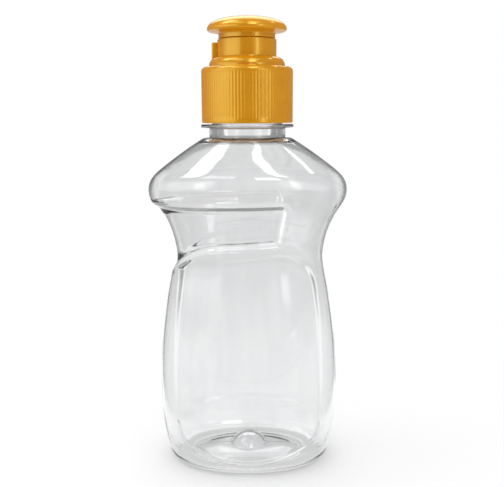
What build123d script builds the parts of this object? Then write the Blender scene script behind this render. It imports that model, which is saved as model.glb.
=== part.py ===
from build123d import *
from math import cos, pi, sin
import os

os.makedirs("parts", exist_ok=True)

# Clear oval soap bottle with a gold screw cap and a push-pull spout.
# Millimetres, +Z up, origin at the centre of the base, front face towards -Y.

# Blown body
BODY_HEIGHT = 119.3
BULGE_HALF_WIDTH = 35.85
WALL = 0.6
FLOOR = 1.0
HEEL_RADIUS = 3.4
ROUND = 0.5**0.5
OVAL_FULLNESS = 0.80
OVAL_ONSET = 0.25

# Grip recess round the left side, seen from the front
GRIP_DEPTH = 1.25
GRIP_TOP = 96.6
GRIP_BOTTOM = 83.5
GRIP_FALL = 1.2
GRIP_END = 13.1
GRIP_LEAN = 2.1
GRIP_CORNER = 1.6
GRIP_BEND = -9.0
GRIP_TAIL = (-31.0, 68.0)

# Label panels in both faces
PANEL_DEPTH = 0.7
PANEL_BOTTOM = 8.2
PANEL_TOP = 80.7
PANEL_FALL = 4.5
PANEL_HALF_WIDTH = 26.2
PANEL_FOOT = 25.0
PANEL_SHOULDERS = (-23.0, 21.5)
PANEL_CORNERS = (9.0, 9.0, 14.0, 4.5)

# Base
PUSHUP_HALF_WIDTH = 20.8
PUSHUP_HALF_DEPTH = 13.0
PUSHUP_RISE = 2.4
DIMPLE_RADIUS = 6.7
DIMPLE_RISE = 4.2

# Neck finish
NECK_RADIUS = 13.6
BORE_RADIUS = 10.9
FLARE_RADIUS = 13.0
NECK_ROOT = 1.2
RING_RADIUS = 16.5
RING_THICKNESS = 1.1
RING_GAP = 3.75
FINISH_HEIGHT = 17.25
FINISH_RADIUS = 12.5
THREAD_RADIUS = 13.7
THREAD_PITCH = 4.23
THREAD_TURNS = 1.5
THREAD_DROP = 2.3
THREAD_ROOT = 1.1
THREAD_CREST = 0.5

# Screw cap
SKIRT_RADIUS = 16.2
SKIRT_EDGE = 1.5
SKIRT_GAP = 0.5
RIB_COUNT = 90
RIB_DEPTH = 0.28
RIB_MARGIN = 1.4
WASHER_THICKNESS = 1.2
CAP_TOP = 1.4
DOME_RADIUS = 13.4
DOME_RISE = 3.4
COLLAR_RADIUS = 10.37
COLLAR_RISE = 6.05
COLLAR_CHAMFER = 0.25
LIP_HEIGHT = 1.0
LAND_RADIUS = 10.4
LUG_REACH = 12.35
LUG_WIDTH = 3.4
LUG_DROP = 1.05
POST_RADIUS = 3.0
WEB_COUNT = 3
WEB_THICKNESS = 1.4
WEB_HEIGHT = 2.6

# Pull spout
SLEEVE_RADIUS = 9.95
SLEEVE_LENGTH = 1.85
STEM_RADIUS = 8.9
STEM_WALL = 1.2
BEAD_HEIGHT = 0.8
BEAD_REACH = 0.35
HEAD_RADIUS = 13.95
HEAD_HEIGHT = 5.6
HEAD_RIM = 1.4
HEAD_WALL = 1.7
HOLE_RADIUS = 2.3
SPOUT_TRAVEL = 4.5

# Clearances
RUNNING = 0.1
THREAD_CLEAR = 0.3
CREVICE = 0.2
STOP_CLEAR = 0.25
WASHER_CLEAR = 0.4
WASHER_OVERLAP = 0.8
LEAD_IN = 0.6
RIB_SETBACK = 0.02
PLUG_DROP = 0.1
BURY = 0.3
REACH = 60.0
ON_FLOOR = (Align.CENTER, Align.CENTER, Align.MIN)
OUTWARD = (Align.MIN, Align.CENTER, Align.MIN)
INWARD = (Align.MAX, Align.CENTER, Align.MIN)

# Heights that follow
RING_BOTTOM = BODY_HEIGHT + RING_GAP
RING_TOP = RING_BOTTOM + RING_THICKNESS
MOUTH = RING_TOP + FINISH_HEIGHT
SKIRT_BOTTOM = RING_TOP + SKIRT_GAP
CAP_INSIDE = MOUTH + WASHER_THICKNESS
SKIRT_TOP = CAP_INSIDE + CAP_TOP
DOME_TOP = SKIRT_TOP + DOME_RISE
COLLAR_TOP = DOME_TOP + COLLAR_RISE
LIP_BOTTOM = COLLAR_TOP - LIP_HEIGHT
BEAD_TOP = LIP_BOTTOM - STOP_CLEAR - SPOUT_TRAVEL
STEM_BOTTOM = BEAD_TOP - BEAD_HEIGHT
WEB_TOP = STEM_BOTTOM - STOP_CLEAR
SLEEVE_BOTTOM = COLLAR_TOP + CREVICE
HEAD_BOTTOM = SLEEVE_BOTTOM + SLEEVE_LENGTH
HEAD_TOP = HEAD_BOTTOM + HEAD_HEIGHT
CEILING = HEAD_TOP - HEAD_WALL

# Radii that follow
SKIRT_INSIDE = THREAD_RADIUS + THREAD_CLEAR
LIP_RADIUS = STEM_RADIUS + RUNNING
BEAD_RADIUS = STEM_RADIUS + BEAD_REACH
WELL_RADIUS = BEAD_RADIUS + RUNNING
STEM_INSIDE = STEM_RADIUS - STEM_WALL

# Body sections: share of the body height, half width over the bulge's, half depth over half width
SECTIONS = [
    (0.000, 0.823, 0.745),
    (0.072, 0.876, 0.730),
    (0.154, 0.910, 0.718),
    (0.235, 0.920, 0.712),
    (0.355, 0.903, 0.712),
    (0.472, 0.855, 0.720),
    (0.549, 0.812, 0.730),
    (0.600, 0.779, 0.738),
    (0.645, 0.764, 0.742),
    (0.690, 0.785, 0.736),
    (0.730, 0.823, 0.725),
    (0.765, 0.876, 0.714),
    (0.795, 0.939, 0.709),
    (0.821, 0.985, 0.709),
    (0.849, 1.000, 0.711),
    (0.876, 0.975, 0.724),
    (0.903, 0.896, 0.753),
    (0.930, 0.781, 0.779),
    (0.956, 0.663, 0.822),
    (0.979, 0.551, 0.891),
    (1.000, 0.441, 1.000),
]
BULGE_SHARE = 0.849


def oval(half_width, half_depth):
    """A closed outline: round where both sizes agree, fuller than an ellipse where they differ."""
    flatness = min(1, (1 - half_depth / half_width) / OVAL_ONSET)
    weights = [1, ROUND + (OVAL_FULLNESS - ROUND) * flatness, 1]
    corners = [(half_width, half_depth), (-half_width, half_depth)]
    corners += [(-half_width, -half_depth), (half_width, -half_depth)]
    with BuildLine() as outline:
        for number, (x, y) in enumerate(corners):
            points = [(x, 0), (x, y), (0, y)]
            if number % 2:
                points.reverse()
            Bezier(*points, weights=weights)
    make_face(outline.edges())


def plain_body(inset, floor, root):
    """The body without recess and panels, drawn in by inset, its foot at floor, its top in by root."""
    with BuildPart() as plain:
        for share, width, ratio in SECTIONS:
            half_width = width * BULGE_HALF_WIDTH
            drawn_in = root if share == 1 else inset
            lowered = drawn_in if share > BULGE_SHARE else 0
            with BuildSketch(Plane.XY.offset(max(share * BODY_HEIGHT - lowered, floor))):
                oval(half_width - drawn_in, half_width * ratio - drawn_in)
        loft()
        fillet(plain.faces().sort_by(Axis.Z)[0].edges(), HEEL_RADIUS - inset)
    return plain.part


def grip_prism(grow):
    """The recess seen from the front, open at the left, through both faces."""
    with BuildPart() as prism:
        with BuildSketch(Plane.XZ) as front:
            with BuildLine():
                top = Line((-REACH, GRIP_TOP - GRIP_FALL), (GRIP_END, GRIP_TOP))
                side = Line(top @ 1, (GRIP_END - GRIP_LEAN, GRIP_BOTTOM))
                foot = Line(side @ 1, (GRIP_BEND, GRIP_BOTTOM - GRIP_FALL))
                bend = TangentArc(foot @ 1, GRIP_TAIL, tangent=foot % 1)
                tail = Line(bend @ 1, (-REACH, GRIP_TAIL[1]))
                Line(tail @ 1, top @ 0)
            make_face()
            fillet(front.vertices().sort_by(Axis.X)[-2:], GRIP_CORNER)
            if grow:
                offset(amount=grow)
        extrude(amount=REACH, both=True)
    return prism.part


def panel_prism(grow):
    """The label panel seen from the front, through both faces."""
    left, right = PANEL_SHOULDERS
    middle = (PANEL_BOTTOM + PANEL_TOP) / 2.5
    with BuildPart() as prism:
        with BuildSketch(Plane.XZ) as front:
            with BuildLine():
                foot = Line((-PANEL_FOOT, PANEL_BOTTOM), (PANEL_FOOT, PANEL_BOTTOM))
                side = ThreePointArc(foot @ 1, (PANEL_HALF_WIDTH, middle), (right, PANEL_TOP))
                top = Line(side @ 1, (left, PANEL_TOP - PANEL_FALL))
                ThreePointArc(top @ 1, (-PANEL_HALF_WIDTH, middle), foot @ 0)
                corners = [foot @ 0, foot @ 1, top @ 0, top @ 1]
            make_face()
            for corner, radius in zip(corners, PANEL_CORNERS):
                fillet(front.vertices().sort_by_distance(corner)[0], radius)
            if grow:
                offset(amount=grow)
        extrude(amount=REACH, both=True)
    return prism.part


def sunk(prism, floor_body):
    """What a prism takes away down to a drawn-in body."""
    with BuildPart() as cut:
        add(prism)
        add(floor_body, mode=Mode.SUBTRACT)
    return cut.part


def base_hollow(inset, floor):
    """The push-up in the base with its dimple, grown by inset and raised to floor."""
    steps = [(1.04, -0.2), (0.80, 0.55), (0.38, 1.0)]
    with BuildPart() as hollow:
        for share, rise in steps:
            with BuildSketch(Plane.XY.offset(floor + rise * PUSHUP_RISE)):
                oval(share * PUSHUP_HALF_WIDTH + inset, share * PUSHUP_HALF_DEPTH + inset)
        loft()
        crown = floor + PUSHUP_RISE + DIMPLE_RISE
        with BuildSketch(Plane.XZ):
            with BuildLine():
                rim = (DIMPLE_RADIUS + inset, floor)
                Bezier(rim, (rim[0], crown), (0, crown), weights=[1, ROUND, 1])
                Polyline((0, crown), (0, floor), rim)
            make_face()
        revolve(axis=Axis.Z)
    return hollow.part


def moulded_body(inset, floor, root):
    """The whole form of the body, drawn in by inset: recess, panels and base included."""
    with BuildPart() as moulded:
        add(plain_body(inset, floor, root))
        add(sunk(grip_prism(inset), plain_body(inset + GRIP_DEPTH, floor, root)), mode=Mode.SUBTRACT)
        add(sunk(panel_prism(inset), plain_body(inset + PANEL_DEPTH, floor, root)), mode=Mode.SUBTRACT)
        add(base_hollow(inset, floor), mode=Mode.SUBTRACT)
    return moulded.part


def thread_ridge(root_radius, crest_radius, start, turns):
    """A helical ridge that stands on a cylinder, with its foot sunk into it."""
    outward = 1 if crest_radius > root_radius else -1
    foot = root_radius - outward * BURY
    with BuildPart() as ridge:
        with BuildLine() as helix:
            Helix(THREAD_PITCH, THREAD_PITCH * turns, foot, center=(0, 0, start))
        with BuildSketch(Plane((foot, 0, start), x_dir=(1, 0, 0), z_dir=(0, -1, 0))):
            with BuildLine():
                height = crest_radius - foot
                Polyline(
                    (0, -THREAD_ROOT),
                    (0, THREAD_ROOT),
                    (height, THREAD_CREST),
                    (height, -THREAD_CREST),
                    close=True,
                )
            make_face()
        sweep(path=helix.wires()[0], is_frenet=True)
    return ridge.part


with BuildPart() as bottle:
    add(moulded_body(0, 0, 0))
    with BuildSketch(Plane.XZ):
        with BuildLine():
            Polyline(
                (0, BODY_HEIGHT - BURY),
                (NECK_RADIUS, BODY_HEIGHT - BURY),
                (NECK_RADIUS, RING_BOTTOM),
                (RING_RADIUS, RING_BOTTOM),
                (RING_RADIUS, RING_TOP),
                (FINISH_RADIUS, RING_TOP),
                (FINISH_RADIUS, MOUTH),
                (0, MOUTH),
                close=True,
            )
        make_face()
    revolve(axis=Axis.Z)
    thread_start = MOUTH - THREAD_DROP - THREAD_TURNS * THREAD_PITCH
    add(thread_ridge(FINISH_RADIUS, THREAD_RADIUS, thread_start, THREAD_TURNS))
    add(moulded_body(WALL, FLOOR, NECK_ROOT), mode=Mode.SUBTRACT)
    with BuildSketch(Plane.XZ):
        with BuildLine():
            Polyline(
                (0, BODY_HEIGHT - NECK_ROOT),
                (FLARE_RADIUS, BODY_HEIGHT - NECK_ROOT),
                (BORE_RADIUS, RING_BOTTOM),
                (BORE_RADIUS, MOUTH),
                (0, MOUTH),
                close=True,
            )
        make_face()
    revolve(axis=Axis.Z, mode=Mode.SUBTRACT)
bottle.part.label = "bottle"
export_step(bottle.part, "parts/bottle.step")

with BuildPart() as sealing_washer:
    with BuildSketch(Plane.XY.offset(MOUTH)):
        Circle(SKIRT_INSIDE - WASHER_CLEAR)
        Circle(LAND_RADIUS - WASHER_OVERLAP, mode=Mode.SUBTRACT)
    extrude(amount=WASHER_THICKNESS)
sealing_washer.part.label = "sealing_washer"
export_step(sealing_washer.part, "parts/sealing_washer.step")

with BuildPart() as screw_cap:
    with BuildSketch(Plane.XZ) as section:
        with BuildLine():
            skirt = Polyline(
                (SKIRT_INSIDE, SKIRT_BOTTOM + LEAD_IN),
                (SKIRT_INSIDE + LEAD_IN, SKIRT_BOTTOM),
                (SKIRT_RADIUS, SKIRT_BOTTOM),
                (SKIRT_RADIUS, SKIRT_TOP - SKIRT_EDGE),
            )
            edge = RadiusArc(skirt @ 1, (SKIRT_RADIUS - SKIRT_EDGE, SKIRT_TOP), -SKIRT_EDGE)
            dome_edge = DOME_RADIUS - COLLAR_RADIUS
            step = Polyline(edge @ 1, (DOME_RADIUS, SKIRT_TOP), (DOME_RADIUS, DOME_TOP - dome_edge))
            dome = RadiusArc(step @ 1, (COLLAR_RADIUS, DOME_TOP), -dome_edge)
            Polyline(
                dome @ 1,
                (COLLAR_RADIUS, COLLAR_TOP - COLLAR_CHAMFER),
                (COLLAR_RADIUS - COLLAR_CHAMFER, COLLAR_TOP),
                (LIP_RADIUS, COLLAR_TOP),
                (LIP_RADIUS, LIP_BOTTOM),
                (WELL_RADIUS, LIP_BOTTOM),
                (WELL_RADIUS, SKIRT_TOP + CAP_TOP),
                (LAND_RADIUS, SKIRT_TOP),
                (LAND_RADIUS, CAP_INSIDE),
                (SKIRT_INSIDE, CAP_INSIDE),
                skirt @ 0,
            )
        make_face()
    revolve(axis=Axis.Z)
    with BuildSketch(Plane.XY.offset(SKIRT_BOTTOM + RIB_MARGIN)):
        Circle(SKIRT_RADIUS + RIB_DEPTH)
        with BuildLine() as knurl:
            crest = SKIRT_RADIUS - RIB_SETBACK
            points = []
            for number in range(2 * RIB_COUNT):
                radius = crest - RIB_DEPTH * (number % 2)
                angle = pi * number / RIB_COUNT
                points.append((radius * cos(angle), radius * sin(angle)))
            Polyline(*points, close=True)
        make_face(mode=Mode.SUBTRACT)
    extrude(amount=SKIRT_TOP - SKIRT_EDGE - RIB_SETBACK - SKIRT_BOTTOM - RIB_MARGIN, mode=Mode.SUBTRACT)
    cap_thread_start = thread_start - THREAD_PITCH / 2
    crest_radius = FINISH_RADIUS + THREAD_CLEAR
    add(thread_ridge(SKIRT_INSIDE, crest_radius, cap_thread_start, THREAD_TURNS - 0.25))
    with Locations((0, 0, WEB_TOP - WEB_HEIGHT)):
        Cylinder(POST_RADIUS, CEILING - CREVICE - WEB_TOP + WEB_HEIGHT, align=ON_FLOOR)
    with Locations((0, 0, CEILING - CREVICE)):
        Cylinder(HOLE_RADIUS - RUNNING, HEAD_WALL + CREVICE - PLUG_DROP, align=ON_FLOOR)
    with PolarLocations(0, WEB_COUNT, start_angle=90):
        with Locations((0, 0, WEB_TOP - WEB_HEIGHT)):
            Box(WELL_RADIUS + BURY, WEB_THICKNESS, WEB_HEIGHT, align=OUTWARD)
    with Locations((-COLLAR_RADIUS + BURY, 0, SKIRT_TOP)):
        lug_height = COLLAR_TOP - LUG_DROP - SKIRT_TOP
        Box(LUG_REACH - COLLAR_RADIUS + BURY, LUG_WIDTH, lug_height, align=INWARD)
screw_cap.part.label = "screw_cap"
export_step(screw_cap.part, "parts/screw_cap.step")

with BuildPart() as pull_spout:
    with BuildSketch(Plane.XZ):
        with BuildLine():
            rim_low = HEAD_BOTTOM + HEAD_RIM / 2
            rim_high = HEAD_BOTTOM + HEAD_RIM
            sleeve = Polyline(
                (HEAD_RADIUS - HEAD_RIM / 2, rim_low),
                (SLEEVE_RADIUS, HEAD_BOTTOM),
                (SLEEVE_RADIUS, SLEEVE_BOTTOM),
                (STEM_RADIUS, SLEEVE_BOTTOM),
                (STEM_RADIUS, BEAD_TOP),
                (BEAD_RADIUS, BEAD_TOP),
                (BEAD_RADIUS, STEM_BOTTOM + BEAD_REACH),
                (STEM_RADIUS, STEM_BOTTOM),
                (STEM_INSIDE, STEM_BOTTOM),
                (STEM_INSIDE, CEILING - HEAD_WALL),
                (STEM_INSIDE / 2, CEILING),
                (HOLE_RADIUS, CEILING),
                (HOLE_RADIUS, HEAD_TOP),
            )
            crown = Bezier(
                sleeve @ 1,
                (HEAD_RADIUS, HEAD_TOP),
                (HEAD_RADIUS, rim_high),
                weights=[1, OVAL_FULLNESS, 1],
            )
            Bezier(crown @ 1, (HEAD_RADIUS, rim_low), sleeve @ 0, weights=[1, ROUND, 1])
        make_face()
    revolve(axis=Axis.Z)
pull_spout.part.label = "pull_spout"
export_step(pull_spout.part, "parts/pull_spout.step")
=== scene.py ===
import math

import bmesh
import bpy
import numpy as np
from bpy.props import FloatProperty, FloatVectorProperty, IntProperty, PointerProperty
from mathutils import Matrix, Quaternion, Vector


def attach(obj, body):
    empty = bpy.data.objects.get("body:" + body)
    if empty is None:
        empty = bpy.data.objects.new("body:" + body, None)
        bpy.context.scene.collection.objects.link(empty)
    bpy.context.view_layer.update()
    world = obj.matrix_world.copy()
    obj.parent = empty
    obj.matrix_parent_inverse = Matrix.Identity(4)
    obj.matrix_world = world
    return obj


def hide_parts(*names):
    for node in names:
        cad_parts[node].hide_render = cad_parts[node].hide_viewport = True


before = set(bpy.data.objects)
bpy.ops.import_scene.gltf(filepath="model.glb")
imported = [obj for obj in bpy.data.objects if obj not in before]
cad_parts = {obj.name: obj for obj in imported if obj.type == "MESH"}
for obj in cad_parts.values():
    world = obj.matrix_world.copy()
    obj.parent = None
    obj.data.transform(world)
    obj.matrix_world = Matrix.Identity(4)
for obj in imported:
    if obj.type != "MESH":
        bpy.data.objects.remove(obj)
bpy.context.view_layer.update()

bl_info = {
    "name": "Soap bottle",
    "version": (1, 0, 0),
    "blender": (4, 5, 0),
    "location": "3D View > Sidebar > Soap bottle",
    "description": "Builds a clear soap bottle with a gold push-pull cap on its packed frame",
    "category": "Add Mesh",
}

MM = 0.001
FINE = 4000  # samples along a fine curve
SAME = 1e-6  # radii this close belong to one face
TINY = 1e-9  # lengths under this count as none
# Middle weights of a quarter ring drawn as a rational curve: a circle's, and that of a fuller
# oval, reached when the depth is less than the width by this share
ROUND = math.sqrt(0.5)
FULL = 0.80
FULL_AT = 0.25
# Half height of the thread's ridge at its foot and its crest, and the share of a turn over
# which its ends run out
THREAD_FOOT = 1.1 * MM
THREAD_CREST = 0.5 * MM
THREAD_END = 0.06
# Behind the bottle, by distance aside over distance back: where the pale middle gives way to
# a brighter rim, and the rim to grey
RIM_FROM = (0.145, 0.18)
RIM_TO = (0.22, 0.28)
# Both edges of the bright strip in front on the right, by distance back over distance aside
STRIP = ((-1.55, -1.3), (-1.05, -0.85))
# Lamps: name, place, the point it faces, width and height, brightness, turn in degrees
LAMPS = [
    ("left_top_softbox", (-0.37, 0.0, 0.66), (-0.37, 0.0, 0), (0.48, 0.25), 3.2, 17),
    ("right_top_softbox", (0.18, -0.203, 0.66), (0.18, -0.203, 0), (0.28, 0.066), 4.0, -20),
    ("far_top_softbox", (0.41, 0.20, 0.66), (0.41, 0.20, 0), (0.14, 0.08), 4.0, -32),
    ("back_top_softbox", (0, 0.50, 0.58), (0, 0, 0.15), (0.55, 0.40), 2.2, 0),
]

# Blown body, from the foot to the shoulder: share of the body height,
# half width over the bulge's, half depth over half width
STATIONS = [
    (0.000, 0.823, 0.745),
    (0.072, 0.876, 0.730),
    (0.154, 0.910, 0.718),
    (0.235, 0.920, 0.712),
    (0.355, 0.903, 0.712),
    (0.472, 0.855, 0.720),
    (0.549, 0.812, 0.730),
    (0.600, 0.779, 0.738),
    (0.645, 0.764, 0.742),
    (0.690, 0.785, 0.736),
    (0.730, 0.823, 0.725),
    (0.765, 0.876, 0.714),
    (0.795, 0.939, 0.709),
    (0.821, 0.985, 0.709),
    (0.849, 1.000, 0.711),
    (0.876, 0.975, 0.724),
    (0.903, 0.896, 0.753),
    (0.930, 0.781, 0.779),
    (0.956, 0.663, 0.822),
    (0.979, 0.551, 0.891),
    (1.000, 0.441, 1.000),
]


def length(name, description, value):
    """A size in metres for a property group, given in millimetres."""
    return FloatProperty(
        name=name, description=description, default=value * MM, unit="LENGTH", precision=5
    )


def colour(name, description, value):
    """A linear colour for a property group."""
    return FloatVectorProperty(
        name=name, description=description, default=value, size=3, subtype="COLOR", min=0, max=1
    )


def number(name, description, value):
    """A plain number for a property group."""
    return FloatProperty(name=name, description=description, default=value)


def angle(name, description, value):
    """An angle for a property group, given in degrees."""
    return FloatProperty(
        name=name, description=description, default=math.radians(value), subtype="ANGLE"
    )


class BottleSizes(bpy.types.PropertyGroup):
    """Sizes of the blown bottle"""

    body_height: length("Body height", "Foot to shoulder ledge", 119.3)
    bulge: length("Bulge", "Half width at the widest place", 35.85)
    wall: length("Wall", "Thickness of the blown wall", 0.6)
    floor: length("Floor", "Thickness of the base", 1.0)
    heel: length("Heel", "Radius round the foot", 3.4)
    grip_depth: length("Grip depth", "How far the grip recess is sunk", 1.4)
    grip_step: length("Grip step", "Width of the step round the grip recess", 1.6)
    panel_depth: length("Panel depth", "How far the label panels are sunk", 0.8)
    panel_step: length("Panel step", "Width of the step round the label panels", 1.5)
    grip_round: number("Grip rounding", "Share of the grip's step that rounds its edges", 0.16)
    panel_round: number("Panel rounding", "Share of the panels' step that rounds its edges", 0.35)
    grip_inner: number("Grip, inner", "Times the grip's step is wider inside, in front", 2.4)
    panel_inner: number("Panel, inner", "Times the panels' step is wider inside, in front", 3.2)
    band_depth: length("Band depth", "Half depth of the band round the bulge", 25.45)
    band_top: length("Band top", "Height of the band's upper edge in front", 106.6)
    band_low: length("Band foot", "Height of the band's lower edge in front", 100.6)
    band_round: length("Band rounding", "How soft those two edges are", 0.45)
    pushup_width: length("Push-up width", "Half width of the hollow in the base", 20.8)
    pushup_depth: length("Push-up depth", "Half depth of the hollow in the base", 13.0)
    pushup_rise: length("Push-up rise", "Height of the hollow in the base", 2.4)
    pushup_inner: length("Push-up, inner", "How much wider the hollow is on the inner face", 2.2)
    dimple: length("Dimple", "Radius of the dome in the middle of the base", 6.7)
    dimple_rise: length("Dimple rise", "Height of that dome over the hollow", 4.2)
    neck: length("Neck", "Radius under the support ring", 13.6)
    bore: length("Bore", "Radius of the way through the neck", 10.9)
    root: length("Neck root", "Wall where the neck meets the shoulder", 0.62)
    ring: length("Support ring", "Radius of the support ring", 16.5)
    ring_gap: length("Ring gap", "Shoulder ledge to support ring", 3.75)
    ring_thickness: length("Ring thickness", "Thickness of the support ring", 1.1)
    finish: length("Finish", "Radius of the threaded part", 12.5)
    finish_height: length("Finish height", "Support ring to mouth", 17.25)
    thread: length("Thread", "Radius over the thread", 13.7)
    thread_pitch: length("Thread pitch", "Rise of one turn", 4.23)
    thread_drop: length("Thread drop", "Mouth to the end of the thread", 2.3)
    thread_turns: FloatProperty(
        name="Thread turns", description="Turns of the thread", default=1.5, min=0.5, max=3
    )


class CapSizes(bpy.types.PropertyGroup):
    """Sizes of the screw cap"""

    skirt: length("Skirt", "Radius over the ribs", 16.2)
    skirt_gap: length("Skirt gap", "Support ring to skirt", 0.5)
    skirt_edge: length("Skirt edge", "Radius of the rounded upper edge", 1.5)
    rib_count: IntProperty(name="Ribs", description="Ribs round the skirt", default=90, min=12)
    rib_depth: length("Rib depth", "Depth of the grooves between the ribs", 0.12)
    rib_margin: length("Rib margin", "Plain band under the ribs", 1.4)
    washer: length("Washer", "Thickness of the sealing washer", 1.2)
    top: length("Top", "Thickness of the top", 1.4)
    dome: length("Dome", "Radius of the step above the skirt", 13.4)
    dome_rise: length("Dome rise", "Height of that step", 3.4)
    collar: length("Collar", "Radius of the collar", 10.37)
    collar_rise: length("Collar rise", "Height of the collar over the step", 6.05)
    lip: length("Lip", "Height of the lip that stops the spout", 1.0)
    land: length("Land", "Radius inside the washer's seat", 10.4)
    clear: length("Thread clearance", "Room between the two threads", 0.3)
    lug_reach: length("Lug reach", "Outer face of the lug beside the collar", 12.35)
    lug_width: length("Lug width", "Width of that lug", 3.4)
    lug_drop: length("Lug drop", "Collar top to the top of the lug", 1.05)
    post: length("Post", "Radius of the post under the spout's hole", 3.0)
    web: length("Web", "Thickness of the webs that carry the post", 1.4)
    web_height: length("Web height", "Height of those webs", 2.6)


class SpoutSizes(bpy.types.PropertyGroup):
    """Sizes of the pull spout"""

    sleeve: length("Sleeve", "Radius of the sleeve over the collar", 9.95)
    sleeve_length: length("Sleeve length", "Height of the sleeve", 1.85)
    stem: length("Stem", "Radius of the sliding stem", 8.9)
    stem_wall: length("Stem wall", "Wall of the stem", 1.2)
    bead: length("Bead", "How far the stop bead stands out", 0.35)
    bead_height: length("Bead height", "Height of the stop bead", 0.8)
    head: length("Head", "Radius of the head", 13.95)
    head_height: length("Head height", "Height of the head", 5.6)
    head_rim: length("Head rim", "Height of the rounded rim", 1.4)
    head_wall: length("Head wall", "Thickness over the hollow", 1.7)
    hole: length("Hole", "Radius of the outlet", 2.3)
    travel: length("Travel", "How far the spout pulls up", 4.5)
    running: length("Running", "Room between the sliding faces", 0.1)
    crevice: length("Crevice", "Gap between collar and sleeve", 0.2)
    stop: length("Stop", "Room at both ends of the travel", 0.25)


class FinishColours(bpy.types.PropertyGroup):
    """Colours of the pieces and of the floor"""

    clear: colour("Clear", "Tint of the clear plastic", (0.975, 0.978, 0.980))
    clear_deep: colour("Clear, deep", "Tint where the plastic is thick", (0.945, 0.952, 0.957))
    gold: colour("Gold", "Ground colour of the gold plastic", (0.71, 0.268, 0.0004))
    gold_pale: colour("Gold, pale", "Colour of the pearl flakes", (0.90, 0.50, 0.03))
    gold_deep: colour("Gold, deep", "Ground colour where the flow thins it", (0.65, 0.238, 0.0003))
    foam: colour("Foam", "Colour of the sealing washer", (0.86, 0.86, 0.83))
    foam_deep: colour("Foam, deep", "Colour between the foam's cells", (0.70, 0.70, 0.67))
    floor: colour("Floor", "Colour of the floor", (0.86, 0.86, 0.86))


class StageSizes(bpy.types.PropertyGroup):
    """Place and lens of the camera"""

    camera_side: length("Camera side", "Camera to the right of the bottle's axis", 1.48)
    camera_back: length("Camera back", "Camera in front of the bottle's axis", 268.1)
    camera_height: length("Camera height", "Camera over the floor", 128.45)
    camera_pitch: angle("Pitch", "Tilt below the horizon", 10.08)
    camera_roll: angle("Roll", "Turn about the line of sight", -0.25)
    lens: number("Lens", "Focal length in millimetres", 52.857)
    sensor: number("Sensor", "Width of the picture plane in millimetres", 36.0)


def running(steps):
    """Running totals of steps, from 0."""
    return np.concatenate(([0], np.cumsum(steps)))


def natural_curve(points, count):
    """Evenly spaced points on a natural cubic spline through the given points."""
    points = np.array(points, float)
    gaps = np.linalg.norm(np.diff(points[:, :2], axis=0), axis=1)
    knots = running(gaps)
    last = len(points) - 1
    bends = np.eye(last + 1)
    sides = np.zeros_like(points)
    for i in range(1, last):
        bends[i, i - 1 : i + 2] = gaps[i - 1], 2 * (gaps[i - 1] + gaps[i]), gaps[i]
        sides[i] = 6 * (
            (points[i + 1] - points[i]) / gaps[i] - (points[i] - points[i - 1]) / gaps[i - 1]
        )
    second = np.linalg.solve(bends, sides)
    places = np.linspace(0, knots[-1], count)
    span = np.clip(np.searchsorted(knots, places) - 1, 0, last - 1)
    gap = gaps[span][:, None]
    before = (knots[span + 1] - places)[:, None]
    after = (places - knots[span])[:, None]
    return (
        second[span] * before**3 / (6 * gap)
        + second[span + 1] * after**3 / (6 * gap)
        + (points[span] / gap - second[span] * gap / 6) * before
        + (points[span + 1] / gap - second[span + 1] * gap / 6) * after
    )


def arc_through(first, middle, last, count):
    """Points on the circle through three points, from the first to the last."""
    a, b, c = (complex(*point) for point in (first, middle, last))
    ratio = (c - a) / (b - a)
    centre = a + (b - a) * (ratio - abs(ratio) ** 2) / (2j * ratio.imag)
    turn = np.angle((c - centre) / (a - centre))
    points = centre + (a - centre) * np.exp(1j * turn * np.linspace(0, 1, count))
    return np.stack((points.real, points.imag), axis=1)


def trimmed(side, cut_start, cut_end):
    """A run of points with a length cut off each end."""
    along = running(np.linalg.norm(np.diff(side, axis=0), axis=1))
    low, high = cut_start, along[-1] - cut_end
    inner = along[(along > low + TINY) & (along < high - TINY)]
    places = np.concatenate(([low], inner, [high]))
    return np.stack([np.interp(places, along, side[:, i]) for i in (0, 1)], axis=1)


def rational(start, pull, end, weight, share):
    """A point on the curve from start to end that a third point pulls on by a weight."""
    w = [(1 - share) ** 2, 2 * weight * share * (1 - share), share**2]
    return (w[0] * start + w[1] * pull + w[2] * end) / sum(w)


def joined(sides, radii, arc_points=7):
    """A closed outline from runs of points; radii round the corner after each run."""
    sides = [np.array(side, float) for side in sides]
    cuts, weights = [], []
    for before, after, radius in zip(sides, sides[1:] + sides[:1], radii):
        a, b = before[-1] - before[-2], after[1] - after[0]
        cosine = np.dot(a, b) / np.linalg.norm(a) / np.linalg.norm(b)
        turn = math.acos(max(-1.0, min(1.0, cosine)))
        cuts.append(radius * math.tan(turn / 2))
        weights.append(math.cos(turn / 2))
    kept = [trimmed(side, cuts[i - 1], cuts[i]) for i, side in enumerate(sides)]
    outline = []
    for i, run in enumerate(kept):
        outline.extend(run)
        if cuts[i] < TINY:
            outline.pop()
            continue
        end = kept[(i + 1) % len(kept)][0]
        for share in np.linspace(0, 1, arc_points)[1:-1]:
            outline.append(rational(run[-1], sides[i][-1], end, weights[i], share))
    return np.array(outline)


def straight(first, last, count=0):
    """A straight run: count even points, or a few that keep the shading of flat places flat."""
    first, last = np.array(first, float), np.array(last, float)
    shares = np.linspace(0, 1, count) if count else (0, 0.04, 0.14, 0.5, 0.86, 0.96, 1)
    return [first + (last - first) * share for share in shares]


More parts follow.
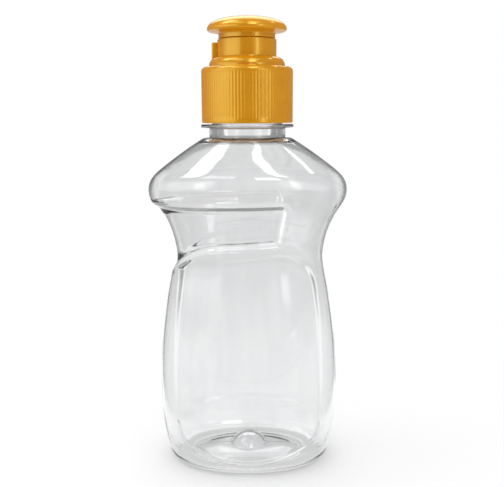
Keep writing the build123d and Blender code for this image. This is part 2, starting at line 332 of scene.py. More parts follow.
def profile(corners, arc_points, counts=None, opening=None):
    """A closed outline through corners, each a radius, a height and a rounding.

    Side i ends at corner i and may have its own count of points; opening stands in for side 0.
    """
    counts = counts or {}
    sides = [
        straight(corners[i - 1][:2], corner[:2], counts.get(i, 0))
        for i, corner in enumerate(corners)
    ]
    if opening is not None:
        sides[0] = opening
    return joined(sides, [rounding for _, _, rounding in corners], arc_points)


def depth_inside(x, z, outline):
    """How far points lie inside an outline; below zero outside it."""
    near = np.full(x.shape, 1e9)
    crossings = np.zeros(x.shape, int)
    for (ax, az), (bx, bz) in zip(outline, np.roll(outline, -1, axis=0)):
        dx, dz = bx - ax, bz - az
        along = np.clip(((x - ax) * dx + (z - az) * dz) / (dx * dx + dz * dz + 1e-18), 0, 1)
        near = np.minimum(near, np.hypot(x - ax - along * dx, z - az - along * dz))
        if az != bz:
            across = (az > z) != (bz > z)
            crossings += across & (x < ax + (z - az) / (bz - az) * dx)
    return np.where(crossings % 2, near, -near)


def ease(value):
    """A smooth step from 0 to 1."""
    value = np.clip(value, 0, 1)
    return value * value * (3 - 2 * value)


def ramp(value, soft):
    """A straight step from 0 to 1, both ends rounded off over soft on either side."""

    def bend(v):
        return np.where(v > soft, v, np.clip(v + soft, 0, None) ** 2 / (4 * soft))

    return bend(value) - bend(value - 1)


def lesser(first, second, soft):
    """The smaller of two values, rounded off where they cross."""
    return (first + second - np.sqrt((first - second) ** 2 + soft**2)) / 2


class Turning:
    """The columns that every ring of a round or oval piece is laid out on."""

    def __init__(self, steps):
        mirrored = np.concatenate(([0.0], 1 - steps[:0:-1]))
        self.steps = steps
        self.t = np.concatenate((steps, mirrored, steps, mirrored))
        self.quarter = np.repeat(np.arange(4), len(steps))

    @classmethod
    def even(cls, per_quarter):
        return cls(np.arange(per_quarter) / per_quarter)

    @classmethod
    def crowded(cls, half_width, half_depth, spacing, crowds, crowded_spacing):
        """Columns closer together where the share of the half width lies within a crowd."""
        fine = cls.even(FINE)
        x, y = fine.oval(half_width, half_depth)
        x, y = x[: FINE + 1], y[: FINE + 1]
        reach = np.hypot(np.diff(x), np.diff(y))
        share = x[:-1] / half_width
        inside = np.zeros(len(share), bool)
        for low, high in crowds:
            inside |= (share > low) & (share < high)
        run = running(reach / np.where(inside, crowded_spacing, spacing))
        count = 2 * int(math.ceil(run[-1] / 2))
        shares = np.arange(FINE + 1) / FINE
        return cls(np.interp(np.arange(count) / count * run[-1], run, shares))

    def halved(self):
        return Turning(self.steps[::2])

    def oval(self, half_width, half_depth):
        """A ring: round where both sizes agree, fuller than an ellipse where they differ."""
        ratio = np.minimum(half_depth, half_width) / np.maximum(half_width, TINY)
        weight = ROUND + (FULL - ROUND) * np.clip((1 - ratio) / FULL_AT, 0, 1)
        t, q = self.t, self.quarter
        middle = 2 * weight * t * (1 - t)
        whole = (1 - t) ** 2 + middle + t**2
        start = ((1 - t) ** 2 + middle) / whole
        end = (t**2 + middle) / whole
        x = np.choose(q, [start, -end, -start, end]) * half_width
        y = np.choose(q, [end, start, -end, -start]) * half_depth
        return x, y

    def ring(self, half_width, half_depth, height):
        x, y = self.oval(half_width, half_depth)
        return np.stack((x, y, np.broadcast_to(height, x.shape)), axis=1)

    def angles(self):
        x, y = self.oval(1.0, 1.0)
        return np.arctan2(y, x) % (2 * math.pi)


def skin(name, rings, closed, start_cap=None, end_cap=None):
    """A mesh over rings, closed on itself or with a point at each end.

    The count of points may halve or double from one ring to the next.
    """
    points = [tuple(p) for ring in rings for p in ring]
    counts = [len(ring) for ring in rings]
    starts = running(counts).tolist()
    faces = []
    rows = len(rings) if closed else len(rings) - 1
    for row in range(rows):
        following = (row + 1) % len(rings)
        low, high = starts[row], starts[following]
        below, above = counts[row], counts[following]
        for i in range(min(below, above)):
            j = (i + 1) % min(below, above)
            if below == above:
                faces.append((low + i, low + j, high + j, high + i))
            elif below > above:
                faces.append((low + 2 * i, low + 2 * i + 1, low + 2 * j, high + j, high + i))
            else:
                faces.append((low + i, low + j, high + 2 * j, high + 2 * i + 1, high + 2 * i))
    if start_cap is not None:
        points.append(tuple(start_cap))
        faces.extend((len(points) - 1, (i + 1) % counts[0], i) for i in range(counts[0]))
    if end_cap is not None:
        points.append(tuple(end_cap))
        top, last = starts[-2], counts[-1]
        faces.extend((len(points) - 1, top + i, top + (i + 1) % last) for i in range(last))
    mesh = bpy.data.meshes.new(name)
    mesh.from_pydata(points, [], faces)
    mesh.validate()
    mesh.shade_smooth()
    return place(name, mesh)


def place(name, mesh):
    """A new object that shows a mesh."""
    piece = bpy.data.objects.new(name, mesh)
    bpy.context.scene.collection.objects.link(piece)
    return piece


def blocks(name, matrices, edge, segments):
    """A piece of boxes with rounded edges, each box a unit cube through its matrix."""
    shapes = bmesh.new()
    for matrix in matrices:
        bmesh.ops.create_cube(shapes, size=1, matrix=matrix)
    bmesh.ops.bevel(
        shapes, geom=shapes.edges[:], offset=edge, segments=segments, affect="EDGES", profile=0.5
    )
    mesh = bpy.data.meshes.new(name)
    shapes.to_mesh(mesh)
    shapes.free()
    return place(name, mesh)


def thread_height(angles, height, start, pitch, turns):
    """How far the thread's ridge stands out, from 0 to 1, at angles round a height."""
    rise = np.zeros(angles.shape)
    for turn in range(int(math.ceil(turns)) + 1):
        travelled = angles / (2 * math.pi) + turn
        offset = np.abs(height - (start + pitch * travelled))
        flank = np.clip((THREAD_FOOT - offset) / (THREAD_FOOT - THREAD_CREST), 0, 1)
        ends = ease(travelled / THREAD_END) * ease((turns - travelled) / THREAD_END)
        rise = np.maximum(rise, flank * ends)
    return rise


class Wire:
    """An output socket that can stand in an expression; each operation adds a Math node."""

    def __init__(self, board, socket):
        self.board = board
        self.socket = socket

    def out(self, name):
        return Wire(self.board, self.socket.node.outputs[name])

    def math(self, operation, first, second=0.0):
        return self.board.add("Math", {0: first, 1: second}, operation=operation)

    def __add__(self, other):
        return self.math("ADD", self, other)

    def __radd__(self, other):
        return self.math("ADD", other, self)

    def __sub__(self, other):
        return self.math("SUBTRACT", self, other)

    def __rsub__(self, other):
        return self.math("SUBTRACT", other, self)

    def __mul__(self, other):
        return self.math("MULTIPLY", self, other)

    def __rmul__(self, other):
        return self.math("MULTIPLY", other, self)

    def __truediv__(self, other):
        return self.math("DIVIDE", self, other)

    def __abs__(self):
        return self.math("ABSOLUTE", self)


class Board:
    """The node tree of one finish, a material's or the world's."""

    def __init__(self, owner):
        owner.use_nodes = True
        self.tree = owner.node_tree
        self.tree.nodes.clear()

    def add(self, kind, inputs=None, **settings):
        """A shader node: its settings first, then the values or links of its sockets."""
        node = self.tree.nodes.new("ShaderNode" + kind)
        for name, value in settings.items():
            setattr(node, name, value)
        for name, value in (inputs or {}).items():
            socket = node.inputs[name]
            if isinstance(value, Wire):
                self.tree.links.new(value.socket, socket)
            elif socket.type == "RGBA":
                socket.default_value = (*value, 1)
            else:
                socket.default_value = value
        return Wire(self, node.outputs[0]) if node.outputs else None

    def place(self, output):
        """Where a point of the surface is, by the output of Texture Coordinate."""
        return self.add("TexCoord").out(output)

    def parts(self, vector):
        split = self.add("SeparateXYZ", {0: vector})
        return split.out("X"), split.out("Y"), split.out("Z")

    def noise(self, vector, scale, detail=2.0, rough=0.5):
        sockets = {"Vector": vector, "Scale": scale, "Detail": detail, "Roughness": rough}
        return self.add("TexNoise", sockets)

    def step(self, value, low, high):
        """A smooth step from 0 at low to 1 at high."""
        sockets = {0: value, 1: low, 2: high, 3: 0.0, 4: 1.0}
        return self.add("MapRange", sockets, interpolation_type="SMOOTHSTEP")

    def window(self, value, rise, fall):
        """1 between a smooth rise and a smooth fall, each given by its two ends."""
        return self.step(value, *rise) * (1 - self.step(value, *fall))

    def mix(self, share, first, second):
        node = self.add("Mix", {"Factor": share, 6: first, 7: second}, data_type="RGBA")
        return Wire(self, node.socket.node.outputs[2])

    def larger(self, first, second):
        return self.add("Math", {0: first, 1: second}, operation="MAXIMUM")

    def stretch(self, vector, scale):
        return self.add("VectorMath", {0: vector, 1: scale}, operation="MULTIPLY")

    def reach(self, vector):
        return self.add("VectorMath", {0: vector}, operation="LENGTH").out("Value")

    def bump(self, height, strength, distance):
        return self.add("Bump", {"Height": height, "Strength": strength, "Distance": distance})

    def finish(self, shader, kind="OutputMaterial"):
        self.add(kind, {"Surface": shader})


def new_finish(name):
    """A material, and the board that its nodes go on."""
    material = bpy.data.materials.new(name)
    return material, Board(material)


def grey(level):
    """A neutral colour."""
    return (level, level, level)


def clear_plastic(tints):
    """Clear blown plastic: glassy, a little uneven, with the line where the mould halves met."""
    material, board = new_finish("clear_blown_plastic")
    where = board.place("Object")
    _, y, z = board.parts(where)
    swell = board.noise(where, 52.0, 1.0)
    drawn = board.noise(board.stretch(where, (230.0, 230.0, 38.0)), 1.0, 2.0)
    specks = board.noise(where, 1900.0, 2.0)
    seam = 1 - board.step(abs(y), 0.03 * MM, 0.22 * MM)
    height = swell * 0.72 + drawn * 0.10 + seam * 0.16
    thick = board.step(drawn * 0.6 + swell * 0.4, 0.35, 0.7)
    shell = board.add(
        "BsdfPrincipled",
        {
            "Base Color": board.mix(thick, tints.clear, tints.clear_deep),
            "Roughness": 0.004 + board.step(specks, 0.62, 0.80) * 0.03,
            "IOR": 1.57,
            "Transmission Weight": 1.0,
            "Normal": board.bump(height, 0.32, 0.6 * MM),
        },
    )
    # Light that makes shadows goes straight through, less of it near the foot
    pale = board.add("BsdfTransparent", {"Color": (0.86, 0.865, 0.87)})
    dim = board.add("BsdfTransparent", {"Color": (0.42, 0.425, 0.43)})
    foot = 1 - board.step(z, 1 * MM, 12 * MM)
    passing = board.add("MixShader", {0: foot, 1: pale, 2: dim})
    path = board.add("LightPath")
    plain = board.larger(path.out("Is Shadow Ray"), path.out("Is Diffuse Ray"))
    board.finish(board.add("MixShader", {0: plain, 1: shell, 2: passing}))
    return material


def gold_plastic(tints):
    """Pearl gold moulded plastic: fine flakes in a ground that varies with the flow."""
    material, board = new_finish("pearl_gold_plastic")
    where = board.place("Object")
    flake = board.noise(where, 6500.0, 2.0, 0.6)
    flow = board.noise(board.stretch(where, (70.0, 70.0, 210.0)), 1.0, 3.0, 0.55)
    cloud = board.noise(where, 120.0, 2.0)
    grain = board.noise(where, 2600.0, 2.0)
    full = board.step(flow * 0.6 + cloud * 0.4, 0.30, 0.70)
    ground = board.mix(full, tints.gold_deep, tints.gold)
    pearl = board.step(flake, 0.45, 0.75) * (0.10 + cloud * 0.10)
    body = board.add(
        "BsdfPrincipled",
        {
            "Base Color": board.mix(pearl, ground, tints.gold_pale),
            "Roughness": 0.15 + grain * 0.06 + flow * 0.04,
            "IOR": 1.9,
            "Specular IOR Level": 1.0,
            "Specular Tint": (1.0, 0.90, 0.24),
            "Normal": board.bump(grain * 0.5 + flow * 0.5, 0.03, 0.2 * MM),
        },
    )
    board.finish(body)
    return material


def foam_washer(tints):
    """Closed-cell foam: matt, with small cells."""
    material, board = new_finish("white_washer_foam")
    where = board.place("Object")
    cells = board.add("TexVoronoi", {"Vector": where, "Scale": 2600.0}).out("Distance")
    patch = board.noise(where, 300.0, 3.0)
    wall = board.step(cells, 0.25, 0.7)
    body = board.add(
        "BsdfPrincipled",
        {
            "Base Color": board.mix(wall * 0.6 + patch * 0.3, tints.foam, tints.foam_deep),
            "Roughness": 0.78 + patch * 0.18,
            "Normal": board.bump(1 - wall, 0.5, 0.2 * MM),
        },
    )
    board.finish(body)
    return material


def white_floor(tints):
    """A pale sheet, near white to the eye; in mirrors and clear plastic it glows with painted light
    and shade: set tones, a bright rim and strip, painted shade under the bottle.
    """
    material, board = new_finish("white_floor_sheet")
    where = board.place("Object")
    x, y, _ = board.parts(where)
    grain = board.noise(where, 90.0, 4.0)
    sheet = board.add(
        "BsdfPrincipled",
        {
            "Base Color": board.mix(grain * 0.06, tints.floor, grey(1.0)),
            "Roughness": 0.03 + grain * 0.03,
            "Specular IOR Level": 0.5,
        },
    )
    aside = abs(x) / (board.larger(y, -0.1) + 0.27)
    beneath = board.reach(board.stretch(where, (33.0, 50.0, 0.0)))
    turn = y / board.larger(x, 0.05)
    # Tones the floor glows with in mirrors and clear plastic, in place of its lit colour: painted
    # light and shade
    layers = [
        (board.step(y, 0.5, 1.4), 0.88),  # far back
        (1 - board.step(y, 0.05, 0.40), 0.94),  # near the bottle
        (board.step(aside, *RIM_FROM), 1.15),  # painted glow of the bright rim behind it
        (board.step(aside, *RIM_TO), 0.30),  # further aside
        (board.step(0 - y, 0.0, 0.12), 0.40),  # in front
        (1 - board.step(beneath, 0.85, 1.0), 0.76),  # painted shade under the bottle
        (board.window(turn, *STRIP) * board.step(x, 0.22, 0.34), 2.2),  # painted glow of the bright strip
    ]
    painted_tone = grey(0.79)
    for share, level in layers:
        painted_tone = board.mix(share, painted_tone, grey(level))
    path = board.add("LightPath")
    seen = path.out("Is Camera Ray")
    through = board.larger(path.out("Is Glossy Ray"), path.out("Is Transmission Ray"))
    glow = board.add("Emission", {"Color": board.mix(seen, painted_tone, grey(1.0)), "Strength": 1.0})
    # The shadow shows round the bottle and fades with distance
    far = board.step(board.reach(where), 0.045, 0.17)
    share = seen * (0.36 + far * 0.64) + (1 - seen) * through * 0.86
    board.finish(board.add("MixShader", {0: share, 1: sheet, 2: glow}))
    return material


def studio_world():
    """White to the eye and even on matt faces; panels and greys in mirrors and clear plastic."""
    world = bpy.data.worlds.new("white_studio")
    bpy.context.scene.world = world
    board = Board(world)
    path = board.add("LightPath")
    passing = path.out("Is Transmission Ray")
    seen = path.out("Is Camera Ray")
    x, y, z = board.parts(board.place("Generated"))
    aside = abs(x) / board.larger(y, 0.05)
    back = board.step(y, 0.0, 0.2) * (1 - board.step(z, -0.005, 0.035))
    middle = (1 - board.step(aside, *RIM_FROM)) * back
    rim = (1 - board.step(aside, *RIM_TO)) * back - middle
    front = board.step(0 - y, 0.55, 0.95)
    around = 0.28 - front * (0.20 - passing * 0.75)
    surroundings = around * (1 - middle - rim) + middle * 0.80 + rim * 1.15
    turn = y / board.larger(abs(x), 0.05)
    right = board.step(x, 0.0, 0.05)
    left = 1 - right
    low = ((-0.14, 0.04), (0.26, 0.50))
    # Bright panels: side, edges by distance back over distance aside, edges by height, level
    panels = [
        (left, ((-2.4, -1.6), (-0.3, 0.5)), low, 1.25),
        (right, ((-3.0, -2.0), (-0.9, -0.2)), low, 0.34),
        (right, STRIP, low, 1.8),
        (left, ((-4.0, -3.4), (-0.65, -0.45)), ((0.71, 0.76), (0.86, 0.91)), 2.0),
        (right, ((-9.0, -7.0), (-1.9, -1.5)), ((0.42, 0.52), (0.76, 0.88)), 4.4),
    ]
    for side, turned, raised, level in panels:
        panel = board.window(turn, *turned) * board.window(z, *raised) * side
        surroundings = surroundings + panel * level
    mirrored = board.larger(path.out("Is Glossy Ray"), passing)
    strength = mirrored * surroundings + (1 - mirrored) * 0.97
    strength = strength * (1 - seen) + seen
    sky = board.add("Background", {"Color": grey(1.0), "Strength": strength})
    board.finish(sky, "OutputWorld")


def softbox(name, spot, aim, size, radiance, turn):
    """A rectangular lamp that faces a point, given by how bright its face is."""
    width, height = size
    lamp = bpy.data.lights.new(name, "AREA")
    lamp.shape = "RECTANGLE"
    lamp.size, lamp.size_y = width, height
    lamp.energy = radiance * math.pi * width * height
    holder = bpy.data.objects.new(name, lamp)
    holder.location = spot
    holder.rotation_mode = "QUATERNION"
    facing = (Vector(aim) - Vector(spot)).to_track_quat("-Z", "Y")
    holder.rotation_quaternion = facing @ Quaternion((0, 0, 1), math.radians(turn))
    holder.visible_camera = False
    bpy.context.scene.collection.objects.link(holder)


class SOAPBOTTLE_OT_bottle(bpy.types.Operator):
    """Blow the clear bottle: waisted body, grip recess, label panels, base and neck finish"""

    bl_idname = "soapbottle.bottle"
    bl_label = "Bottle"

    def grip_outline(self):
        """The grip recess seen from the front, open past the left side."""
        past = -60.0
        foot, bend, tail = (-9.0, 82.3), (-21.888460, 78.055323), (-31.0, 68.0)
        sides = [
            [(past, 95.4), (13.1, 96.6)],
            [(13.1, 96.6), (11.0, 83.5)],
            [(11.0, 83.5), foot],
            arc_through(foot, bend, tail, 14),
            [tail, (past, 68.0)],
            [(past, 68.0), (past, 95.4)],
        ]
        return joined(sides, [1.6, 1.6, 0, 0, 0, 0]) * MM

    def panel_outline(self):
        """The label panel seen from the front."""
        sides = [
            arc_through((-25.3, 12.0), (0.0, 4.8), (25.3, 12.0), 24),
            arc_through((25.3, 12.0), (26.2, 35.56), (21.5, 80.7), 40),
            [(21.5, 80.7), (-23.0, 76.2)],
            arc_through((-23.0, 76.2), (-26.2, 35.56), (-25.3, 12.0), 40),
        ]
        return joined(sides, [6.0, 14.0, 4.5, 6.0], 9) * MM

    def sunk(self, sizes, x, y, z, inner):
        """How far the wall is sunk at points; the blown inner face is softer in front."""
        in_grip, in_panel = depth_inside(x, z, self.grip), depth_inside(x, z, self.panel)
        front = ease(0.5 - y / (6 * MM))
        upper = ease((z - 71 * MM) / (5 * MM))
        lower = 1 - ease((z - 8 * MM) / (6 * MM))
        # The panels' step is wider along the top, and narrower along the foot in front
        narrower = 0.72 if inner else 0.6
        easing = 1 + 0.8 * upper - narrower * lower * front

        def depth(grip_step, panel_step):
            grip = ramp(in_grip / grip_step + 0.5, sizes.grip_round)
            panel = ramp(in_panel / panel_step / easing + 0.5, sizes.panel_round)
            return np.maximum(grip * sizes.grip_depth, panel * sizes.panel_depth)

        even = depth(sizes.grip_step, sizes.panel_step)
        if not inner:
            return even
        soft = depth(sizes.grip_step * sizes.grip_inner, sizes.panel_step * sizes.panel_inner)
        return even * (1 - front) + soft * front

    def banded(self, sizes, z, deep):
        """Half depths with the two edges of the band round the bulge drawn in front and behind."""
        shoulder_slope, waist_slope = 0.756, 0.274
        shoulder = sizes.band_depth + shoulder_slope * (sizes.band_top - z)
        waist = sizes.band_depth - waist_slope * (sizes.band_low - z)
        both = lesser(shoulder, waist, sizes.band_round)
        band = lesser(both, sizes.band_depth, sizes.band_round)
        share = ease((z - 93 * MM) / (4 * MM)) * (1 - ease((z - 112 * MM) / (5 * MM)))
        return deep * (1 - share) + band * share

    def upright(self, sizes, inset):
        """Height, half width and half depth up the wall, or up a face drawn in by inset."""
        stations = [
            (share * sizes.body_height, width * sizes.bulge, width * ratio * sizes.bulge)
            for share, width, ratio in STATIONS
        ]
        curve = natural_curve(stations, FINE)
        curve[:, 1] = np.minimum(curve[:, 1], sizes.bulge)
        curve[:, 2] = self.banded(sizes, curve[:, 0], curve[:, 2])
        if not inset:
            return curve
        heights = curve[:, 0]
        top = ease((heights - sizes.body_height) / (3 * MM) + 1)
        drawn = inset + (sizes.root - inset) * top
        lining = []  # each point moves square to the wall, which keeps it even
        for reach in curve[:, 1:].T:
            rise, run = np.gradient(heights), np.gradient(reach)
            slant = np.hypot(rise, run)
            lining.append((heights + drawn * run / slant, reach - drawn * rise / slant))
        low = max(levels[0] for levels, _ in lining)
        high = min(levels[-1] for levels, _ in lining)
        even = np.linspace(low, high, FINE)
        return np.stack([even] + [np.interp(even, *side) for side in lining], axis=1)

    def wall(self, sizes, turning, inset, foot):
        """Rings of the heel and the wall, with recess and panels sunk in."""
        curve = self.upright(sizes, inset)
        heel = sizes.heel - inset
        start = foot + heel
        bend = np.linspace(0, math.pi / 2, 9)
        levels = [(foot + heel * (1 - math.cos(a)), heel * (1 - math.sin(a))) for a in bend]
        marks = [height * MM for height in (10, 20, 62, 80, 86, 94, 99, 108.5)]
        stops = [start + 0.4 * MM, *marks, curve[-1, 0]]
        # Gaps between the rings from each stop to the next, in millimetres
        gaps = [0.28, 0.6, 2.4, 0.65, 0.3, 0.65, 0.3, 0.45, 0.9]
        for low, high, gap in zip(stops, stops[1:], gaps):
            # The inner face is softer, so above the foot its rings lie further apart
            coarse = 1.7 if inset and high > marks[0] else 1.0
            count = int(math.ceil((high - low) / (gap * coarse * MM)))
            levels.extend((height, 0.0) for height in np.linspace(low, high, count, endpoint=False))
        levels.append((curve[-1, 0], 0.0))
        rings = []
        for height, drawn in levels:
            width, deep = (np.interp(height, curve[:, 0], curve[:, i]) - drawn for i in (1, 2))
            x, y = turning.oval(width, deep)
            sunk = self.sunk(sizes, x, y, np.full(x.shape, height), inset > 0)
            rings.append(turning.ring(width - sunk, deep - sunk, height))
        return rings

    def base(self, sizes, turning, inset, foot, edge):
        """Rings of the base from its middle outwards: dome, push-up and standing ring."""
        crown = sizes.pushup_rise + sizes.dimple_rise
        radius = sizes.dimple + inset
        spread = sizes.pushup_inner if inset else 0.0
        outer = (sizes.pushup_width + spread, sizes.pushup_depth + spread)
        brim = 0.985  # share of those two where the push-up meets the standing ring

        def bowl(k):
            """Height of the push-up at a share of the way out."""
            rise = 1 - 1.0714 * (k - 0.38) - 3.1116 * (k - 0.38) * (k - 0.80)
            return np.clip(np.where(k < 0.418, 1.0045, rise), 0, 2) * sizes.pushup_rise

        rings = []
        meet = radius * math.sqrt(1 - (sizes.pushup_rise / crown) ** 2)
        for angle in np.linspace(0, math.asin(meet / radius), 14)[1:]:
            reach = radius * math.sin(angle)
            rings.append(turning.ring(reach, reach, foot + crown * math.cos(angle)))
        for share in (0.03, 0.08, 0.2, 0.35, 0.5, 0.65, 0.78, 0.88, 0.95, 0.985, 1.0):
            width, deep = (meet + (side * brim - meet) * share for side in outer)
            x, y = turning.oval(width, deep)
            blend = share**3
            norm = np.hypot(x / outer[0], y / outer[1]) * (1 - blend) + (deep / outer[1]) * blend
            height = foot + bowl(norm) * (1 - ease((share - 0.95) / 0.05))
            rings.append(turning.ring(width, deep, height))
        for share in (0.04, 0.12, 0.5, 0.9):
            width, deep = (a * brim * (1 - share) + b * share for a, b in zip(outer, edge))
            rings.append(turning.ring(width, deep, foot))
        return rings

    def neck(self, sizes, turning, inner_edge):
        """Rings of the ledge, the neck, the support ring, the threaded finish and the bore."""
        ledge = sizes.body_height
        low = ledge + sizes.ring_gap
        high = low + sizes.ring_thickness
        mouth = high + sizes.finish_height
        corner = STATIONS[-1][1] * sizes.bulge
        corners = [
            (corner, ledge, 0.0),
            (sizes.neck, ledge, 0.5 * MM),
            (sizes.neck, low, 0.35 * MM),
            (sizes.ring, low, 0.3 * MM),
            (sizes.ring, high, 0.3 * MM),
            (sizes.finish, high, 0.4 * MM),
            (sizes.finish, mouth, 0.4 * MM),
            (sizes.bore, mouth, 0.4 * MM),
            (sizes.bore, inner_edge[1], 1.0 * MM),
            (*inner_edge, 0.0),
        ]
        # The first two points are the edges of the two walls, which have their own rings
        outline = profile(corners, 6, {0: 2, 6: 38, 8: 12})[2:]
        angles = turning.angles()
        pitch, turns = sizes.thread_pitch, sizes.thread_turns
        start = mouth - sizes.thread_drop - turns * pitch
        rings = []
        for radius, height in outline:
            out = radius
            if abs(radius - sizes.finish) < SAME:
                ridge = thread_height(angles, height, start, pitch, turns)
                out = radius + ridge * (sizes.thread - sizes.finish)
            rings.append(turning.ring(out, out, height))
        return rings

    def execute(self, context):
        sizes = context.scene.soap_bottle
        self.grip = self.grip_outline()
        self.panel = self.panel_outline()
        crowds = [(0.30, 0.48), (0.62, 0.90)]  # the grip recess and the panels end there
        turning = Turning.crowded(31 * MM, 22.4 * MM, 1.0 * MM, crowds, 0.40 * MM)
        sparse = turning.halved()
        outside = self.wall(sizes, turning, 0.0, 0.0)
        inside = self.wall(sizes, sparse, sizes.wall, sizes.floor)
        outer_edge, inner_edge = (wall[0][:, :2].max(axis=0) for wall in (outside, inside))
        rings = self.base(sizes, turning, 0.0, 0.0, outer_edge)
        rings += outside
        rings += self.neck(sizes, sparse, (inside[-1][:, 0].max(), inside[-1][0, 2]))
        rings += inside[::-1]
        rings += self.base(sizes, sparse, sizes.wall, sizes.floor, inner_edge)[::-1]
        crown = sizes.pushup_rise + sizes.dimple_rise
        bottle = skin("clear_bottle", rings, False, (0, 0, crown), (0, 0, crown + sizes.floor))
        bottle.data.materials.append(clear_plastic(context.scene.soap_finishes))
        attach(bottle, "bottle")
        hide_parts("bottle")
        return {"FINISHED"}


class SOAPBOTTLE_OT_cap(bpy.types.Operator):
    """Mould the screw cap: ribbed skirt, step, collar, lug, and the post inside on its webs"""

    bl_idname = "soapbottle.cap"
    bl_label = "Screw cap"

    def execute(self, context):
        sizes = context.scene.soap_cap
        bottle = context.scene.soap_bottle
        spout = context.scene.soap_spout
        ring_top = bottle.body_height + bottle.ring_gap + bottle.ring_thickness
        mouth = ring_top + bottle.finish_height
        low = ring_top + sizes.skirt_gap
        under = mouth + sizes.washer
        top = under + sizes.top
        dome_top = top + sizes.dome_rise
        collar_top = dome_top + sizes.collar_rise
        inside = bottle.thread + sizes.clear
        lip = spout.stem + spout.running
        well = spout.stem + spout.bead + spout.running
        corners = [
            (inside, low + 0.6 * MM, 0.2 * MM),
            (inside + 0.6 * MM, low, 0.15 * MM),
            (sizes.skirt, low, 0.25 * MM),
            (sizes.skirt, top, sizes.skirt_edge),
            (sizes.dome, top, 0.35 * MM),
            (sizes.dome, dome_top, 2.9 * MM),
            (sizes.collar, dome_top, 0.3 * MM),
            (sizes.collar, collar_top, 0.25 * MM),
            (lip, collar_top, 0.15 * MM),
            (lip, collar_top - sizes.lip, 0.1 * MM),
            (well, collar_top - sizes.lip, 0.1 * MM),
            (well, top + sizes.top, 0.2 * MM),
            (sizes.land, top, 0.2 * MM),
            (sizes.land, under, 0.15 * MM),
            (inside, under, 0.3 * MM),
        ]
        outline = profile(corners, 7, {0: 48, 3: 40})
        turning = Turning.even(sizes.rib_count)
        angles = turning.angles()
        grooves = (0.5 - 0.5 * np.cos(sizes.rib_count * angles)) ** 1.5
        pitch, turns = bottle.thread_pitch, bottle.thread_turns
        start = mouth - bottle.thread_drop - (turns + 0.5) * pitch
        rib_end = 0.5 * MM  # height over which the grooves run out
        rings = []
        for radius, height in outline:
            out = radius
            if abs(radius - sizes.skirt) < SAME:
                from_low = (height - low - sizes.rib_margin) / rib_end
                from_top = (top - sizes.skirt_edge - height) / rib_end
                out = radius - grooves * sizes.rib_depth * ease(from_low) * ease(from_top)
            if abs(radius - inside) < SAME and height < under - 0.3 * MM:
                ridge = thread_height(angles, height, start, pitch, turns - 0.25)
                out = radius - ridge * (inside - bottle.finish - sizes.clear)
            rings.append(turning.ring(out, out, height))
        gold = gold_plastic(context.scene.soap_finishes)
        cap = skin("ribbed_cap", rings, True)
        self.finish(cap, gold)
        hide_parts("screw_cap")
        self.post(sizes, spout, collar_top, well, gold)
        self.lug(sizes, top, collar_top, gold)
        return {"FINISHED"}

    def finish(self, piece, gold):
        piece.data.materials.append(gold)
        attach(piece, "cap")

    def post(self, sizes, spout, collar_top, well, gold):
        """The post with the plug that shuts the spout's hole, and the webs under it."""
        stem_low = collar_top - sizes.lip - spout.stop - spout.travel - spout.bead_height
        web_top = stem_low - spout.stop
        web_low = web_top - sizes.web_height
        head_top = collar_top + spout.crevice + spout.sleeve_length + spout.head_height
        plug = spout.hole - spout.running
        plug_top = head_top - 0.1 * MM
        shoulder = head_top - spout.head_wall - spout.crevice
        axis = 0.0001 * MM  # near enough to the middle, where a point closes each end
        corners = [
            (axis, web_low, 0.0),
            (sizes.post, web_low, 0.25 * MM),
            (sizes.post, shoulder, 0.25 * MM),
            (plug, shoulder, 0.15 * MM),
            (plug, plug_top, 0.3 * MM),
            (axis, plug_top, 0.0),
        ]
        turning = Turning.even(16)
        outline = profile(corners, 6, {0: 2})[2:]
        rings = [turning.ring(radius, radius, height) for radius, height in outline]
        post = skin("plug_post", rings, False, (0, 0, web_low), (0, 0, plug_top))
        self.finish(post, gold)
        reach = well + 0.3 * MM  # the webs run a little into the collar
        middle = Matrix.Translation((reach / 2, 0, (web_low + web_top) / 2))
        scale = Matrix.Diagonal((reach, sizes.web, sizes.web_height, 1))
        turns = [Matrix.Rotation(math.radians(degrees), 4, "Z") for degrees in (90, 210, 330)]
        webs = blocks("flow_webs", [turn @ middle @ scale for turn in turns], 0.2 * MM, 2)
        self.finish(webs, gold)

    def lug(self, sizes, top, collar_top, gold):
        """The upright lug beside the collar."""
        inner = sizes.collar - 0.3 * MM
        high = collar_top - sizes.lug_drop
        middle = Matrix.Translation((-(sizes.lug_reach + inner) / 2, 0, (top + high) / 2))
        scale = Matrix.Diagonal((sizes.lug_reach - inner, sizes.lug_width, high - top, 1))
        lug = blocks("collar_lug", [middle @ scale], 0.5 * MM, 5)
        lug.data.shade_smooth()
        self.finish(lug, gold)


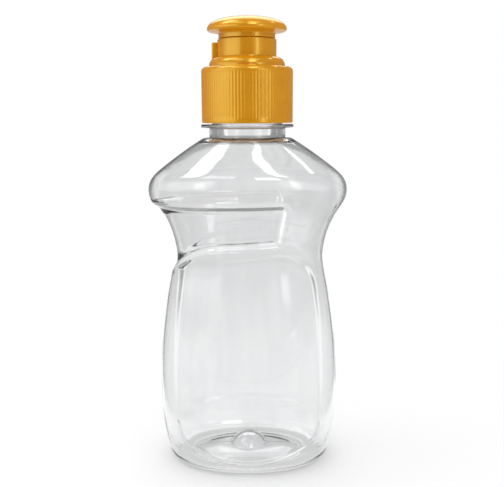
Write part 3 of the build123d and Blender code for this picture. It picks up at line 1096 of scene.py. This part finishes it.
class SOAPBOTTLE_OT_spout(bpy.types.Operator):
    """Mould the pull spout: sleeve, sliding stem with its stop bead, and the mushroom head"""

    bl_idname = "soapbottle.spout"
    bl_label = "Pull spout"

    def execute(self, context):
        sizes = context.scene.soap_spout
        cap = context.scene.soap_cap
        bottle = context.scene.soap_bottle
        mouth = bottle.body_height + bottle.ring_gap + bottle.ring_thickness + bottle.finish_height
        collar_top = mouth + cap.washer + cap.top + cap.dome_rise + cap.collar_rise
        low = collar_top + sizes.crevice
        head_low = low + sizes.sleeve_length
        head_top = head_low + sizes.head_height
        ceiling = head_top - sizes.head_wall
        bead_top = collar_top - cap.lip - sizes.stop - sizes.travel
        stem_low = bead_top - sizes.bead_height
        bore = sizes.stem - sizes.stem_wall
        rim_low = head_low + sizes.head_rim / 2
        rim_high = head_low + sizes.head_rim
        start = np.array((sizes.hole, head_top))
        end = np.array((sizes.head, rim_high))
        pull = np.array((sizes.head, head_top))
        crown = [rational(start, pull, end, FULL, share) for share in np.linspace(0, 1, 26)]
        corners = [
            (sizes.head, rim_high, 0.0),
            (sizes.head, rim_low, 0.65 * MM),
            (sizes.sleeve, head_low, 0.5 * MM),
            (sizes.sleeve, low, 0.2 * MM),
            (sizes.stem, low, 0.15 * MM),
            (sizes.stem, bead_top, 0.1 * MM),
            (sizes.stem + sizes.bead, bead_top, 0.1 * MM),
            (sizes.stem + sizes.bead, stem_low + sizes.bead, 0.1 * MM),
            (sizes.stem, stem_low, 0.1 * MM),
            (bore, stem_low, 0.2 * MM),
            (bore, ceiling - sizes.head_wall, 0.6 * MM),
            (bore / 2, ceiling, 0.6 * MM),
            (sizes.hole, ceiling, 0.2 * MM),
            (sizes.hole, head_top, 0.3 * MM),
        ]
        outline = profile(corners, 8, opening=crown)
        turning = Turning.even(56)
        rings = [turning.ring(r, r, h) for r, h in outline]
        spout = skin("pull_spout_head", rings, True)
        spout.data.materials.append(gold_plastic(context.scene.soap_finishes))
        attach(spout, "spout")
        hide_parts("pull_spout")
        return {"FINISHED"}


class SOAPBOTTLE_OT_washer(bpy.types.Operator):
    """Give the sealing washer its foam"""

    bl_idname = "soapbottle.washer"
    bl_label = "Sealing washer"

    def execute(self, context):
        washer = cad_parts["sealing_washer"]
        washer.data.materials.clear()
        washer.data.materials.append(foam_washer(context.scene.soap_finishes))
        return {"FINISHED"}


class SOAPBOTTLE_OT_stage(bpy.types.Operator):
    """Set the floor, the lamps, the white surroundings and the camera"""

    bl_idname = "soapbottle.stage"
    bl_label = "Stage"

    def execute(self, context):
        sizes = context.scene.soap_stage
        context.scene.view_settings.view_transform = "Standard"
        mesh = bpy.data.meshes.new("floor_sheet")
        left, right, front, back = -4.0, 4.0, -0.30, 8.0
        corners = [(left, front, 0), (right, front, 0), (right, back, 0), (left, back, 0)]
        mesh.from_pydata(corners, [], [(0, 1, 2, 3)])
        floor = place("floor_sheet", mesh)
        mesh.materials.append(white_floor(context.scene.soap_finishes))
        studio_world()
        for lamp in LAMPS:
            softbox(*lamp)
        lens = bpy.data.cameras.new("front_camera")
        lens.sensor_width = sizes.sensor
        lens.lens = sizes.lens
        lens.clip_start, lens.clip_end = 0.01, 50
        camera = bpy.data.objects.new("front_camera", lens)
        camera.location = (sizes.camera_side, -sizes.camera_back, sizes.camera_height)
        camera.rotation_mode = "QUATERNION"
        tilt = Quaternion((1, 0, 0), math.pi / 2 - sizes.camera_pitch)
        camera.rotation_quaternion = tilt @ Quaternion((0, 0, 1), sizes.camera_roll)
        context.scene.collection.objects.link(camera)
        context.scene.camera = camera
        return {"FINISHED"}


class SOAPBOTTLE_PT_pieces(bpy.types.Panel):
    """The pieces of the soap bottle"""

    bl_idname = "SOAPBOTTLE_PT_pieces"
    bl_label = "Soap bottle"
    bl_space_type = "VIEW_3D"
    bl_region_type = "UI"
    bl_category = "Soap bottle"

    def draw(self, context):
        for operator in OPERATORS:
            self.layout.operator(operator.bl_idname)
        for name in SETTINGS:
            group = getattr(context.scene, name)
            box = self.layout.box()
            for entry in group.__annotations__:
                box.prop(group, entry)


OPERATORS = (
    SOAPBOTTLE_OT_bottle,
    SOAPBOTTLE_OT_cap,
    SOAPBOTTLE_OT_spout,
    SOAPBOTTLE_OT_washer,
    SOAPBOTTLE_OT_stage,
)
SETTINGS = {
    "soap_bottle": BottleSizes,
    "soap_cap": CapSizes,
    "soap_spout": SpoutSizes,
    "soap_finishes": FinishColours,
    "soap_stage": StageSizes,
}


def register():
    for name, group in SETTINGS.items():
        bpy.utils.register_class(group)
        setattr(bpy.types.Scene, name, PointerProperty(type=group))
    for operator in OPERATORS:
        bpy.utils.register_class(operator)
    bpy.utils.register_class(SOAPBOTTLE_PT_pieces)


def unregister():
    bpy.utils.unregister_class(SOAPBOTTLE_PT_pieces)
    for operator in reversed(OPERATORS):
        bpy.utils.unregister_class(operator)
    for name, group in reversed(SETTINGS.items()):
        delattr(bpy.types.Scene, name)
        bpy.utils.unregister_class(group)


def main():
    register()
    bpy.ops.soapbottle.bottle()
    bpy.ops.soapbottle.cap()
    bpy.ops.soapbottle.spout()
    bpy.ops.soapbottle.washer()
    bpy.ops.soapbottle.stage()


if __name__ == "__main__":
    main()
